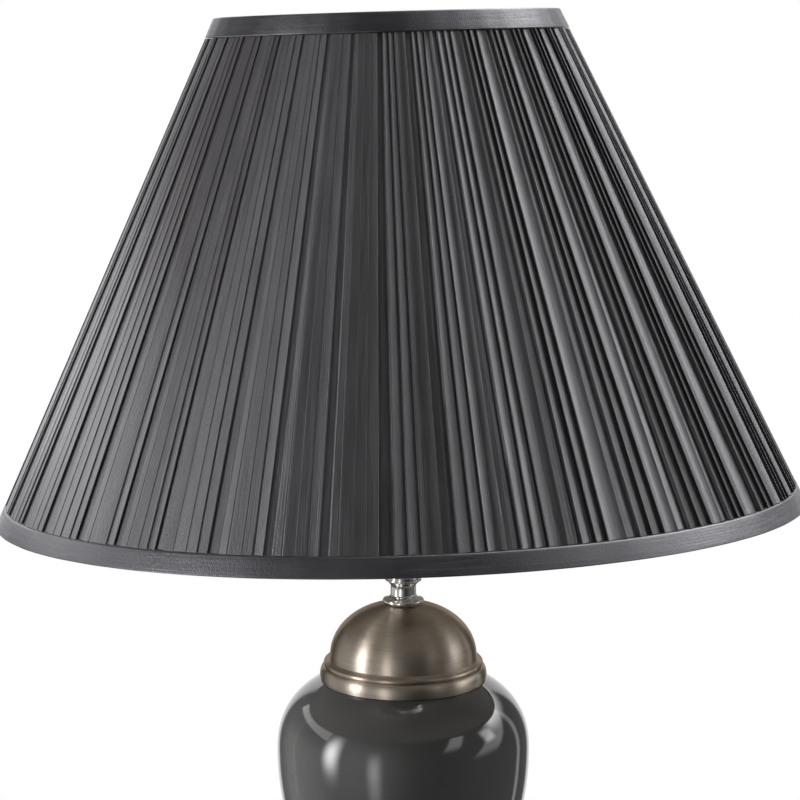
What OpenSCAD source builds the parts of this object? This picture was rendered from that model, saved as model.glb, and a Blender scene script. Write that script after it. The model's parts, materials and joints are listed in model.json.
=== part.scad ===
// Urn table lamp with a pleated shade. Millimetres, +Z up, origin on the floor
// under the middle of the base. The front is -Y and the cord enters at +Y.
// Some shade sizes lean with the shade, which stands on its gimbal a little out of level.

/* [Base] */
// Diameter of the metal base at its rim
base_d = 112; // [100:1:130]
// Height of the metal base, felt included
base_h = 28; // [26:1:34]
// Thickness of the spun sheet metal
sheet_t = 1.2; // [0.8:0.1:1.6]
// Thickness of the felt under the base
felt_t = 2; // [1.5:0.5:3]
// Thickness of the cast weight in the base
weight_t = 8; // [6:0.5:10]
// Height of the cord bush above the floor
bush_z = 8; // [7.5:0.1:8.5]
// Bore of the cord bush
bush_bore_d = 6; // [5:0.2:6.4]

/* [Urn] */
// Widest diameter of the ceramic body
urn_d = 129.6; // [120:0.2:150]
// Height of the urn from its foot to the edge of the dome cap
urn_h = 165; // [150:1:185]
// Depth of the widest ring below the edge of the dome cap
shoulder_drop = 38; // [34:1:42]
// Rise that the shoulder's curve would reach above its widest ring
shoulder_rise = 45.1; // [43:0.1:48]
// Diameter of the narrow stem above the foot
stem_d = 68; // [56:1:76]
// Diameter of the foot
foot_d = 76; // [70:1:80]
// Wall of the ceramic
urn_wall = 5; // [4:0.5:6]

/* [Cap] */
// Diameter of the dome cap at its lower bead
cap_d = 85.6; // [85:0.1:87]
// Height of the dome cap above its edge
cap_h = 39.2; // [37:0.1:44]
// Diameter of the dome where it meets the upper bead
dome_d = 77.6; // [76:0.1:79]
// Height of the lower bead
lower_bead_h = 7.2; // [6.5:0.1:7.6]
// Height of the upper bead
upper_bead_h = 2.7; // [2.4:0.1:3]

/* [Neck] */
// Height of the neck from the dome to the lampholder
neck_h = 20.8; // [18:0.2:24]
// Diameter of the neck's flange
neck_flange_d = 21.4; // [20:0.2:24]
// Diameter of the neck's waist
neck_waist_d = 13.2; // [12.6:0.2:15]
// Diameter of the lip over the waist
neck_lip_d = 18.8; // [17:0.2:20]
// Outer diameter of the hollow threaded rod
rod_d = 10; // [9:0.5:10]
// Bore of the hollow rod
rod_bore_d = 7; // [6:0.5:7]

/* [Lampholder] */
// Diameter of the lower housing
holder_d = 38; // [36:1:40]
// Diameter of the threaded sleeve
sleeve_d = 38.6; // [38:0.1:39.2]
// Diameter of the flange that carries the shade fitter
flange_d = 50; // [49:0.5:51]
// Height of the threaded sleeve above its flange
sleeve_h = 23; // [21:0.5:26]
// Height from the neck to the split between the two housings
split_h = 34; // [30:1:38]
// Height of the push bar above the neck
bar_h = 19; // [17:0.5:20]
// Diameter of the push bar
bar_d = 5; // [4:0.5:6]
// Travel of the push bar
bar_travel = 6; // [4:0.5:7]
// Diameter of the retaining ring over its ribs
ring_d = 49; // [48.4:0.2:50]
// Height of the retaining ring
ring_h = 7; // [5:0.5:9]

/* [Bulb] */
// Diameter of the glass
bulb_d = 60; // [55:1:65]
// Overall length of the bulb
bulb_l = 105; // [100:1:112]
// Diameter of the screw cap
bulb_cap_d = 26; // [25.6:0.1:26.4]

/* [Shade] */
// Diameter of the shade over its bottom trim
shade_bottom_d = 406.4; // [380:0.2:430]
// Diameter of the shade over its top trim
shade_top_d = 171.4; // [165:0.2:185]
// Height of the shade
shade_h = 248.3; // [230:0.1:270]
// Height of the gimbal above the shade's lower edge
gimbal_rise = 30.2; // [26:0.1:34]
// Height of the shade's lower edge above the edge of the dome cap
shade_lift = 89.3; // [87:0.1:92]
// Distance that the fitter sits to the left of the column
fitter_play = 2; // [1.4:0.1:2.2]
// Lean of the shade
tilt = 4.19; // [0:0.01:6]
// Direction of the gimbal's pivot line in plan
tilt_dir = 23.2; // [0:0.1:40]
// Height of the bottom trim
bottom_trim_h = 9.3; // [8:0.1:14]
// Height of the top trim
top_trim_h = 9.7; // [8:0.1:14]
// Number of pleat groups round the shade
pleat_groups = 42; // [36:1:48]
// Depth of the pleats at the lower edge
pleat_depth = 3.2; // [2:0.1:3.6]
// Thickness of the pleated cloth behind the folds
cloth_t = 0.9; // [0.6:0.1:1.4]
// Thickness of the lining
lining_t = 0.6; // [0.5:0.1:1]
// Diameter of the frame wire
wire_d = 3; // [2.6:0.1:3.2]
// Number of slanted frame wires
strut_count = 6; // [4:1:8]

/* [Hidden] */

// Clearances
seat = 0.3;          // between neighbours that touch on the real lamp
slip = 0.2;          // round the rod where a piece slides over it
pivot_fit = 0.05;    // radial, round the gimbal's pins and the push bar's guide
thread_fit = 0.3;    // radial, where the modelled parts leave their threads plain

// Column heights
cap_edge_z = base_h + urn_h;
cap_top_z = cap_edge_z + cap_h;
holder_z = cap_top_z + neck_h;
shade_z = cap_edge_z + shade_lift;
pivot_z = shade_z + gimbal_rise;

// Base
rim_r = base_d / 2;
base_wall_r = rim_r - 1;
wall_top_z = base_h - 12;
bead_r = 1.75;
small_bead_r = 1.3;
plate_r = foot_d / 2 + 4;
step_r = base_wall_r - 3.4;
step_z = wall_top_z + 4.2;
felt_r = base_wall_r - 1.5;
plate_z = base_h - sheet_t;
weight_r = foot_d / 2;
weight_z = plate_z - seat - weight_t;
washer_t = 1.5;
washer_r = 12;
washer_z = weight_z - washer_t - 0.1;
tag_t = 0.8;
tag_z = washer_z - tag_t - 0.1;
tag_r = 8;
tag_l = 20;
nut_t = 4;
nut_flats = 15;
nut_z = tag_z - nut_t - 0.1;
rod_foot_z = nut_z - 0.8;
rod_hole_r = rod_d / 2 + slip;
bush_shank_r = bush_bore_d / 2 + 1.2;
bush_flange_r = bush_bore_d / 2 + 2;
bush_flange_t = 1.5;

// Urn
gasket_t = 1;
foot_z = base_h + gasket_t + 0.1;
foot_r = foot_d / 2;
stem_r = stem_d / 2;
stem_z = foot_z + 9;
urn_r = urn_d / 2;
urn_mid_z = cap_edge_z - shoulder_drop;
shoulder_power = 2.4;
mouth_z = cap_edge_z + 4;
mouth_r = 28;
belly_curve = 133;   // radius of the belly's curve just below the widest ring
urn_steps = 26;

// Cap
cap_r = cap_d / 2;
dome_r = dome_d / 2;
dome_edge_h = lower_bead_h + upper_bead_h;
dome_wide_h = dome_edge_h + 1.1;
dome_wide_r = dome_r - 1.2;
dome_power = 2.12;
dome_flat = 0.6;     // how much the flat seat for the neck takes off the dome
dome_steps = 22;
disc_t = 1.5;
disc_z = mouth_z + gasket_t + 0.2;
disc_r = mouth_r + 5;
disc_plug_r = mouth_r - 0.5;
disc_plug_h = 6;

// Neck
neck_flange_h = 3.2;
neck_waist_h = 8.4;
neck_lip_h = 12.8;
cup_r = holder_d / 2 - 4;

// Lampholder
holder_r = holder_d / 2;
holder_wall = 2;
entry_h = 8;
rod_top_z = holder_z + entry_h - 1;
split_z = holder_z + split_h;
fitter_t = 1.5;
ear_rise = 5;
flange_z = pivot_z - ear_rise - fitter_t;
flange_t = 2.5;
sleeve_r = sleeve_d / 2;
sleeve_wall = 2;
sleeve_top_z = flange_z + sleeve_h;
bar_z = holder_z + bar_h;
bar_l = holder_d + 2 * bar_travel + 10;
block_r = holder_r - holder_wall - 3;
block_h = 12;
block_w = 18;
block_top_z = bar_z + block_h / 2;
rest_r = holder_r - holder_wall - 1;   // the lower housing's rim, which carries the block
core_r = rest_r - seat;
core_z = split_z - 3;
shell_t = 0.5;
shell_r = bulb_cap_d / 2 + thread_fit + shell_t;
shell_h = 22;
shell_z = sleeve_top_z - 1 - shell_h;
core_top_z = shell_z - 0.1;
leaf_t = 0.5;
leaf_rise = 2;
ring_r = ring_d / 2;
ring_z = flange_z + fitter_t + 2 * 0.1;
ring_ribs = 24;
rib_r = 0.9;

// Bulb
tip_z = core_top_z + leaf_rise + leaf_t + seat;
tip_h = 1.2;
insulator_h = 3.5;
bulb_cap_h = 22;
bulb_cap_r = bulb_cap_d / 2;
glass_r = bulb_d / 2;
glass_t = 1;
glass_z = tip_z + tip_h + insulator_h + bulb_cap_h - 1;
glass_mid_z = tip_z + bulb_l - glass_r;
glass_neck_r = bulb_cap_r - 1;

// Gimbal
fitter_hole_r = sleeve_r + fitter_play + 0.2;
fitter_r = fitter_hole_r + 7.3;
ear_w = 9;
pin_r = 1.5;
pin_head_r = 2.7;
pin_head_t = 1.2;
hoop_r = fitter_r + fitter_t + 2.6;
eye_r = 3.6;
eye_t = 3;
spoke_count = 3;

// Shade, in its own frame with the gimbal at the origin
slope = (shade_bottom_d - shade_top_d) / 2 / shade_h;
lean = atan(slope);
trim_proud = 0.3;
lip_t = 1;
wall_depth = pleat_depth + cloth_t;
ring_h_low = lip_t + seat + wire_d / 2;
ring_h_high = shade_h - ring_h_low;
lip_in = wall_depth + wire_d + 1.6;
lining_in = wall_depth + (wire_d + 2 * seat) / cos(lean);
lining_low = ring_h_low + wire_d / 2 + 1.2;
top_shrink = 0.7;    // the folds are this much shallower at the top
// One group of pleats: place across the group, and height of the fold from 0 to 1
fold = [
    [0.00, 0.00], [0.11, 0.00], [0.13, 1.00], [0.33, 0.66], [0.345, 0.90],
    [0.55, 0.60], [0.565, 0.86], [0.76, 0.62], [0.775, 0.88], [0.98, 1.00]
];
fold_wander = 0.008; // how far the fold lines stray from an even spacing

$fn = 96;

// Radius of the shade's outer cone at a height above its lower edge
function cone_r(h) = shade_bottom_d / 2 - slope * h;
// Radius of the frame wires' line at that height
function wire_r(h) = cone_r(h) - wall_depth - (seat + wire_d / 2) / cos(lean);
// A quarter of a superellipse, from its widest point up to its top
function quarter(r, rise, power, steps) = [
    for (i = [0:steps]) let (t = 90 * i / steps)
        [r * pow(cos(t), 2 / power), rise * pow(sin(t), 2 / power)]
];
function bezier(a, b, c, d, t) =
    a * pow(1 - t, 3) + b * 3 * t * pow(1 - t, 2) + c * 3 * t * t * (1 - t) + d * pow(t, 3);

// The lower half of the urn, from the stem up to the widest ring, less a wall
function urn_low(wall) = let (
        start = [stem_r - wall, stem_z],
        finish = [urn_r - wall, urn_mid_z],
        pull = stem_r - wall + 2,
        rise = sqrt(2 / 3 * (urn_r - wall - pull) * belly_curve)
    ) [for (i = [0:urn_steps])
        bezier(start, [pull, stem_z + 24], finish - [0, rise], finish, i / urn_steps)];
// The shoulder, from the widest ring up to the mouth, less a wall
function urn_high(wall, top) = [
    for (p = quarter(urn_r - wall, shoulder_rise - wall, shoulder_power, 2 * urn_steps))
        if (p[1] > 0 && p[1] + urn_mid_z < top) [p[0], p[1] + urn_mid_z]
];
// Radius of the shoulder's curve at a height above the floor
function shoulder_at(z) =
    urn_r * pow(1 - pow((z - urn_mid_z) / shoulder_rise, shoulder_power), 1 / shoulder_power);
// Height of the shoulder's curve above the floor at a radius
function shoulder_z(r) =
    urn_mid_z + shoulder_rise * pow(1 - pow(r / urn_r, shoulder_power), 1 / shoulder_power);

// The dome's curve from the upper bead to the flat under the neck, less a wall
function dome_curve(wall) = [
    for (p = quarter(dome_wide_r - wall, cap_h + dome_flat - dome_wide_h - wall, dome_power, dome_steps))
        if (p[0] > neck_flange_d / 2 - 2) [p[0], min(p[1] + cap_edge_z + dome_wide_h, cap_top_z - wall)]
];

module tube(r, hole_r, h) {
    difference() {
        cylinder(r = r, h = h);
        translate([0, 0, -1]) cylinder(r = hole_r, h = h + 2);
    }
}

module felt_pad() {
    color("#3a3c3a") cylinder(r = felt_r, h = felt_t);
}

// The base's outline from the wall's lower edge to the hole, less a wall
function base_line(wall) = concat(
    [[base_wall_r - wall, felt_t / 2], [base_wall_r - wall, wall_top_z - wall / 2],
     [step_r - wall, step_z - wall / 2]],
    [for (p = quarter(step_r - plate_r - 0.6, base_h - step_z, 2, 10))
        [plate_r + p[0] - wall * p[0] / (step_r - plate_r), step_z + p[1] - wall * (p[1] + 1) / (base_h - step_z + 1)]],
    [[rod_hole_r, base_h - wall]]);

module base_shell() {
    outer = base_line(0);
    inner = base_line(sheet_t);
    color("#9c948c") difference() {
        rotate_extrude() {
            polygon(concat(outer, [for (i = [len(inner) - 1:-1:0]) inner[i]]));
            translate([rim_r - bead_r, wall_top_z]) circle(r = bead_r, $fn = 48);
            translate([step_r - 0.4, step_z - small_bead_r]) circle(r = small_bead_r, $fn = 48);
        }
        translate([0, 0, bush_z]) rotate([-90, 0, 0]) cylinder(r = bush_shank_r + 0.1, h = rim_r + 5);
    }
}

module base_weight() {
    color("#4a4a4a") translate([0, 0, weight_z]) tube(weight_r, rod_hole_r, weight_t);
}

module base_washer() {
    color("#b8b8b8") translate([0, 0, washer_z]) tube(washer_r, rod_hole_r, washer_t);
}

module earth_tag() {
    color("#c8b070") translate([0, 0, tag_z]) difference() {
        union() {
            cylinder(r = tag_r, h = tag_t);
            translate([0, -3, 0]) cube([tag_l, 6, tag_t]);
        }
        translate([0, 0, -1]) cylinder(r = rod_hole_r, h = tag_t + 2);
        translate([tag_l - 3.5, 0, -1]) cylinder(r = 1.6, h = tag_t + 2, $fn = 24);
    }
}

module base_nut() {
    color("#b8b8b8") translate([0, 0, nut_z]) difference() {
        cylinder(r = nut_flats / 2 / cos(30), h = nut_t, $fn = 6);
        translate([0, 0, -1]) cylinder(r = rod_d / 2 + slip / 2, h = nut_t + 2);
    }
}

module cord_bush() {
    // Runs out through the rear wall, with a flange on each side of it
    inner_y = sqrt(pow(base_wall_r - sheet_t, 2) - pow(bush_flange_r, 2)) - 0.1;
    color("#222222") translate([0, 0, bush_z]) rotate([-90, 0, 0]) difference() {
        union() {
            translate([0, 0, inner_y - bush_flange_t]) cylinder(r = bush_flange_r, h = bush_flange_t);
            translate([0, 0, inner_y - bush_flange_t]) cylinder(r = bush_shank_r, h = sheet_t + 6);
            translate([0, 0, base_wall_r + 0.4]) cylinder(r = bush_flange_r, h = bush_flange_t);
        }
        translate([0, 0, inner_y - bush_flange_t - 1]) cylinder(r = bush_bore_d / 2, h = sheet_t + 10);
    }
}

module foot_gasket() {
    color("#2c2c2c") translate([0, 0, base_h + 0.05]) tube(foot_r - 1, foot_r - 12, gasket_t);
}

module urn_body() {
    foot_edge = [
        [foot_r - 0.8, foot_z], [foot_r, foot_z + 0.8], [foot_r, foot_z + 3],
        [foot_r - 0.8, foot_z + 4], [stem_r + 0.4, foot_z + 6.5]
    ];
    inner_top = [[mouth_r, mouth_z - urn_wall + 0.6], [mouth_r, mouth_z]];
    outer_top = [[shoulder_at(mouth_z - 0.8), mouth_z - 0.8], [shoulder_at(mouth_z - 0.8) - 1.6, mouth_z]];
    inner_curve = concat(urn_low(urn_wall), urn_high(urn_wall, mouth_z - urn_wall - 1));
    inner = concat([[rod_d, foot_z], [rod_d, foot_z + urn_wall], [stem_r - urn_wall, stem_z - 3]],
                   inner_curve, inner_top);
    outer = concat(foot_edge, urn_low(0), urn_high(0, mouth_z - 1), outer_top);
    color("#3e4043") rotate_extrude($fn = 128)
        polygon(concat(outer, [for (i = [len(inner) - 1:-1:0]) inner[i]]));
}

module mouth_gasket() {
    color("#2c2c2c") translate([0, 0, mouth_z + 0.1]) tube(mouth_r + 4, mouth_r + 0.5, gasket_t);
}

module centring_disc() {
    color("#b0b0b0") difference() {
        union() {
            translate([0, 0, disc_z]) cylinder(r = disc_r, h = disc_t);
            translate([0, 0, disc_z - disc_plug_h]) tube(disc_plug_r, disc_plug_r - 1.5, disc_plug_h + 0.5);
        }
        translate([0, 0, disc_z - 1]) cylinder(r = rod_hole_r, h = disc_t + 2);
    }
}

module dome_cap() {
    low = cap_edge_z;
    groove_z = low + lower_bead_h;
    bead_mid = [dome_r + 0.75, groove_z + upper_bead_h / 2];
    band = [for (i = [0:8]) bezier([cap_r - 0.5, low], [cap_r + 0.25, low + lower_bead_h * 0.36],
        [cap_r - 0.2, groove_z - 0.9], [cap_r - 2.3, groove_z], i / 8)];
    bead = [for (a = [-75:15:75]) bead_mid + upper_bead_h * 0.44 * [cos(a), sin(a)]];
    under = [for (i = [len(dome_curve(sheet_t)) - 1:-1:0]) dome_curve(sheet_t)[i]];
    color("#a39a90") rotate_extrude($fn = 128) polygon(concat(
        band, bead, [[dome_r, low + dome_edge_h]], dome_curve(0),
        [[rod_hole_r, cap_top_z], [rod_hole_r, cap_top_z - sheet_t]], under,
        [[dome_r - sheet_t, low + dome_edge_h - 0.6], [cap_r - 3.9, groove_z - 1.6],
         [cap_r - 2.2, low + 2], [cap_r - 2.4, shoulder_z(cap_r - 2.4) + seat]]));
}

module neck() {
    z = cap_top_z + 0.1;
    top = holder_z - 0.1;
    flange_r = neck_flange_d / 2;
    waist_r = neck_waist_d / 2;
    lip_r = neck_lip_d / 2;
    bead_r = neck_flange_h / 2;
    bead = [for (a = [-90:15:60]) [flange_r - bead_r, z + bead_r] + bead_r * [cos(a), sin(a)]];
    cove = [for (i = [0:7]) bezier([flange_r - 1.7, z + neck_flange_h], [waist_r + 1, z + neck_flange_h + 0.3],
        [waist_r, z + neck_flange_h + 1], [waist_r, z + neck_flange_h + 2], i / 7)];
    flare = [for (i = [0:8]) bezier([waist_r, z + neck_waist_h], [waist_r, z + neck_waist_h + 1.6],
        [lip_r - 1, z + neck_lip_h - 1.6], [lip_r - 0.1, z + neck_lip_h - 0.6], i / 8)];
    cup = [for (i = [0:6]) bezier([lip_r - 1, z + neck_lip_h + 0.9], [lip_r + 0.6, z + neck_lip_h + 2],
        [cup_r - 1.4, top - 4], [cup_r, top - 1.6], i / 6)];
    color("#c9c9cc") rotate_extrude() polygon(concat(
        [[rod_hole_r, z]], bead, cove, flare,
        [[lip_r, z + neck_lip_h - 0.2], [lip_r - 0.2, z + neck_lip_h + 0.4]], cup, [[cup_r, top], [rod_hole_r, top]]));
}

module threaded_rod() {
    color("#c4b078") translate([0, 0, rod_foot_z])
        tube(rod_d / 2, rod_bore_d / 2, rod_top_z - rod_foot_z);
}

module lampholder_base() {
    entry_r = rod_d / 2 + 3;
    z = holder_z;
    shell = [
        [rod_d / 2 + slip / 2, z], [cup_r - 0.6, z], [cup_r + 1.2, z + 1.4],
        [holder_r - 0.8, z + 6], [holder_r, z + 8], [holder_r, split_z - 0.1],
        [rest_r, split_z - 0.1], [rest_r, split_z - 2.5], [holder_r - holder_wall, split_z - 3.2],
        [holder_r - holder_wall, z + 8.6],
        [cup_r - 0.4, z + 2.4], [entry_r, z + 2.4], [entry_r, z + entry_h],
        [rod_d / 2 + slip / 2, z + entry_h]
    ];
    color("#191919") difference() {
        rotate_extrude() polygon(shell);
        translate([-holder_d, 0, bar_z]) rotate([0, 90, 0]) cylinder(r = bar_d / 2 + seat, h = 2 * holder_d);
    }
}

module switch_block() {
    color("#e8e4d8") difference() {
        union() {
            translate([0, 0, bar_z - block_h / 2]) intersection() {
                cylinder(r = block_r, h = block_h);
                translate([-block_r, -block_w / 2, -1]) cube([2 * block_r, block_w, block_h + 2]);
            }
            // Two posts hang the switch from the block above it
            for (s = [-1, 1]) translate([s * (block_r - 3), 0, block_top_z - 1])
                cylinder(r = 2, h = core_z - 0.1 - (block_top_z - 1), $fn = 32);
        }
        translate([-holder_d, 0, bar_z]) rotate([0, 90, 0])
            cylinder(r = bar_d / 2 + pivot_fit, h = 2 * holder_d);
    }
}

module switch_bar() {
    // Rests pushed to the left, and travels to the right
    tip = 1;
    x = -bar_l / 2 - bar_travel / 2;
    color("#e8e4d8") translate([x, 0, bar_z]) rotate([0, 90, 0]) {
        cylinder(r1 = bar_d / 2 - tip / 2, r2 = bar_d / 2, h = tip, $fn = 48);
        translate([0, 0, tip]) cylinder(r = bar_d / 2, h = bar_l - 2 * tip);
        translate([0, 0, bar_l - tip]) cylinder(r1 = bar_d / 2, r2 = bar_d / 2 - tip / 2, h = tip, $fn = 48);
    }
}

module socket_core() {
    // Insulating block with a tray that the screw shell stands in
    color("#ece8dc") difference() {
        union() {
            translate([0, 0, core_z]) cylinder(r = core_r, h = split_z - core_z);
            translate([0, 0, split_z]) cylinder(r = sleeve_r - sleeve_wall - seat, h = core_top_z - split_z);
        }
        for (a = [90, 210, 330]) rotate([0, 0, a])
            translate([10, 0, core_z - 1]) cylinder(r = 2.05, h = 7, $fn = 32);
    }
}

module terminal_screws() {
    color("#c4b078") for (a = [90, 210, 330]) rotate([0, 0, a]) translate([10, 0, 0]) {
        translate([0, 0, core_z - 2.2]) cylinder(r = 3, h = 2, $fn = 32);
        translate([0, 0, core_z - 0.3]) cylinder(r = 1.9, h = 6, $fn = 32);
    }
}

module centre_contact() {
    // A leaf that rises from the block to meet the bulb's tip
    w = 6;
    l = 16;
    z = core_top_z + 0.05;
    color("#c4b078") translate([0, w / 2, 0]) rotate([90, 0, 0]) linear_extrude(w) polygon([
        [-l / 2, z], [-l / 2 + 3, z], [-3, z + leaf_rise], [3, z + leaf_rise], [l / 2 - 3, z], [l / 2, z],
        [l / 2, z + leaf_t], [l / 2 - 2.6, z + leaf_t], [3.2, z + leaf_rise + leaf_t],
        [-3.2, z + leaf_rise + leaf_t], [-l / 2 + 2.6, z + leaf_t], [-l / 2, z + leaf_t]
    ]);
}

module screw_shell() {
    color("#cfcac0") translate([0, 0, shell_z]) tube(shell_r, shell_r - shell_t, shell_h);
}

module lampholder_sleeve() {
    inner = sleeve_r - sleeve_wall;
    low = split_z + 0.1;
    color("#191919") rotate_extrude() polygon([
        [inner, low], [holder_r, low], [holder_r, flange_z - flange_t - 2],
        [flange_d / 2 - 0.4, flange_z - flange_t], [flange_d / 2, flange_z - flange_t + 0.4],
        [flange_d / 2, flange_z - 0.1], [sleeve_r, flange_z - 0.1], [sleeve_r, sleeve_top_z - 0.6],
        [sleeve_r - 0.6, sleeve_top_z], [inner, sleeve_top_z]
    ]);
}

module retaining_ring() {
    hole = sleeve_r + thread_fit;
    color("#191919") translate([0, 0, ring_z]) difference() {
        union() {
            cylinder(r = ring_r - rib_r, h = ring_h);
            cylinder(r = ring_r, h = 1.6);
            for (i = [0:ring_ribs - 1]) rotate([0, 0, 360 * i / ring_ribs])
                translate([ring_r - rib_r, 0, 0]) cylinder(r = rib_r, h = ring_h, $fn = 16);
        }
        translate([0, 0, -1]) cylinder(r = hole, h = ring_h + 2);
    }
}

module bulb_contact() {
    color("#c4b078") translate([0, 0, tip_z]) {
        cylinder(r1 = 3.4, r2 = 4.6, h = tip_h, $fn = 48);
    }
}

module bulb_insulator() {
    z = tip_z + tip_h + 0.05;
    color("#202020") translate([0, 0, z])
        cylinder(r1 = 5.4, r2 = bulb_cap_r - 2, h = insulator_h - 0.1, $fn = 64);
}

module bulb_cap() {
    z = tip_z + tip_h + insulator_h;
    color("#d0d0d0") translate([0, 0, z]) difference() {
        union() {
            cylinder(r1 = bulb_cap_r - 1.8, r2 = bulb_cap_r, h = 3, $fn = 64);
            translate([0, 0, 3]) cylinder(r = bulb_cap_r, h = bulb_cap_h - 3);
        }
        translate([0, 0, 3]) cylinder(r = bulb_cap_r - 0.6, h = bulb_cap_h);
    }
}

module bulb_glass() {
    // A ball that runs down into a neck standing in the screw cap
    color("#f4f0e6") difference() {
        bulb_form(0);
        bulb_form(glass_t);
    }
}

module bulb_form(wall) {
    r = glass_r - wall;
    neck_r = glass_neck_r - wall;
    join_z = glass_mid_z - glass_r * sin(40);
    join_r = r * cos(40);
    base = glass_z - 16 + wall;
    rotate_extrude() polygon(concat(
        [[0, base], [neck_r, base], [neck_r, glass_z + 1]],
        [for (i = [1:12]) bezier([neck_r, glass_z + 1], [neck_r + 1, glass_z + 10],
            [join_r - 7.4, join_z - 8.8], [join_r, glass_mid_z - r * sin(40)], i / 12)],
        [for (a = [-35:5:85]) [r * cos(a), glass_mid_z + r * sin(a)]],
        [[0, glass_mid_z + r]]));
}

// Everything on the gimbal, with the pivot at the origin
module at_pivot() {
    translate([-fitter_play, 0, pivot_z]) rotate([0, 0, tilt_dir]) children();
}

module shade_frame() {
    at_pivot() rotate([-tilt, 0, 0]) rotate([0, 0, -tilt_dir]) children();
}

module fitter_ring() {
    color("#cfcac0") at_pivot() translate([0, 0, -ear_rise - fitter_t]) difference() {
        union() {
            cylinder(r = fitter_r, h = fitter_t);
            for (s = [0, 180]) rotate([0, 0, s]) {
                translate([fitter_r - 2, -ear_w / 2, 0]) cube([2 + fitter_t, ear_w, fitter_t]);
                translate([fitter_r, -ear_w / 2, 0]) cube([fitter_t, ear_w, ear_rise + fitter_t]);
                translate([fitter_r, 0, ear_rise + fitter_t]) rotate([0, 90, 0])
                    cylinder(r = ear_w / 2, h = fitter_t);
            }
        }
        translate([0, 0, -1]) cylinder(r = fitter_hole_r, h = fitter_t + 2);
        translate([-2 * fitter_r, 0, ear_rise + fitter_t]) rotate([0, 90, 0])
            cylinder(r = pin_r + pivot_fit, h = 4 * fitter_r);
    }
}

module gimbal_pins() {
    // Headed inside the ears, and riveted over outside the hoop's eyes
    outside = hoop_r + eye_t / 2 + 0.1;
    color("#b8b8b8") shade_frame() rotate([0, 0, tilt_dir]) for (s = [0, 180]) rotate([0, 0, s])
        rotate([0, 90, 0]) {
            translate([0, 0, fitter_r - 0.1 - pin_head_t]) cylinder(r = pin_head_r, h = pin_head_t);
            translate([0, 0, fitter_r - 0.2]) cylinder(r = pin_r, h = outside - fitter_r + 0.4);
            translate([0, 0, outside]) cylinder(r = pin_head_r, h = pin_head_t);
        }
}

module gimbal_hoop() {
    color("#e0ded8") shade_frame() rotate([0, 0, tilt_dir]) difference() {
        union() {
            rotate_extrude() translate([hoop_r, 0]) circle(d = wire_d, $fn = 32);
            for (s = [0, 180]) rotate([0, 0, s]) translate([hoop_r - eye_t / 2, 0, 0]) rotate([0, 90, 0])
                cylinder(r = eye_r, h = eye_t);
        }
        translate([-2 * hoop_r, 0, 0]) rotate([0, 90, 0]) cylinder(r = pin_r + pivot_fit, h = 4 * hoop_r);
    }
}

module shade_spokes() {
    // From the hoop out and down to the bottom ring
    run = wire_r(ring_h_low) - hoop_r;
    drop = gimbal_rise - ring_h_low;
    span = sqrt(run * run + drop * drop);
    end = wire_d / 2 + seat;
    color("#e0ded8") shade_frame() for (i = [0:spoke_count - 1])
        rotate([0, 0, 90 + 360 * i / spoke_count]) translate([hoop_r, 0, 0])
            rotate([0, 90 + atan(drop / run), 0]) translate([0, 0, end])
                cylinder(d = wire_d, h = span - 2 * end, $fn = 32);
}

module wire_ring(h) {
    color("#e0ded8") shade_frame() translate([0, 0, h - gimbal_rise])
        rotate_extrude($fn = 128) translate([wire_r(h), 0]) circle(d = wire_d, $fn = 32);
}

module bottom_ring() {
    wire_ring(ring_h_low);
}

module top_ring() {
    wire_ring(ring_h_high);
}

module shade_struts() {
    span = (ring_h_high - ring_h_low) / cos(lean);
    end = wire_d / 2 + seat;
    color("#e0ded8") shade_frame() for (i = [0:strut_count - 1])
        rotate([0, 0, 360 * i / strut_count]) translate([wire_r(ring_h_low), 0, ring_h_low - gimbal_rise])
            rotate([0, -lean, 0]) translate([0, 0, end]) cylinder(d = wire_d, h = span - 2 * end, $fn = 32);
}

module shade_lining() {
    low = lining_low;
    high = shade_h - lining_low;
    color("#e9e4da") shade_frame() translate([0, 0, -gimbal_rise]) rotate_extrude($fn = 128) polygon([
        [cone_r(low) - lining_in - lining_t, low], [cone_r(low) - lining_in, low],
        [cone_r(high) - lining_in, high], [cone_r(high) - lining_in - lining_t, high]
    ]);
}

// One ring of points round the folds, at a height above the lower edge
function fold_ring(h, depth) = [
    for (g = [0:pleat_groups - 1]) for (i = [0:len(fold) - 1]) let (
            stray = i > 2 && i < 9 ? fold_wander * sin(137 * g + 61 * floor((i - 1) / 2)) : 0,
            a = 360 * (g + fold[i][0] + stray) / pleat_groups,
            r = cone_r(h) - depth * (1 - fold[i][1])
        ) [r * cos(a), r * sin(a), h - gimbal_rise]
];
function back_ring(h) = [
    for (i = [0:2 * pleat_groups - 1]) let (a = 180 * i / pleat_groups, r = cone_r(h) - wall_depth)
        [r * cos(a), r * sin(a), h - gimbal_rise]
];

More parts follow.
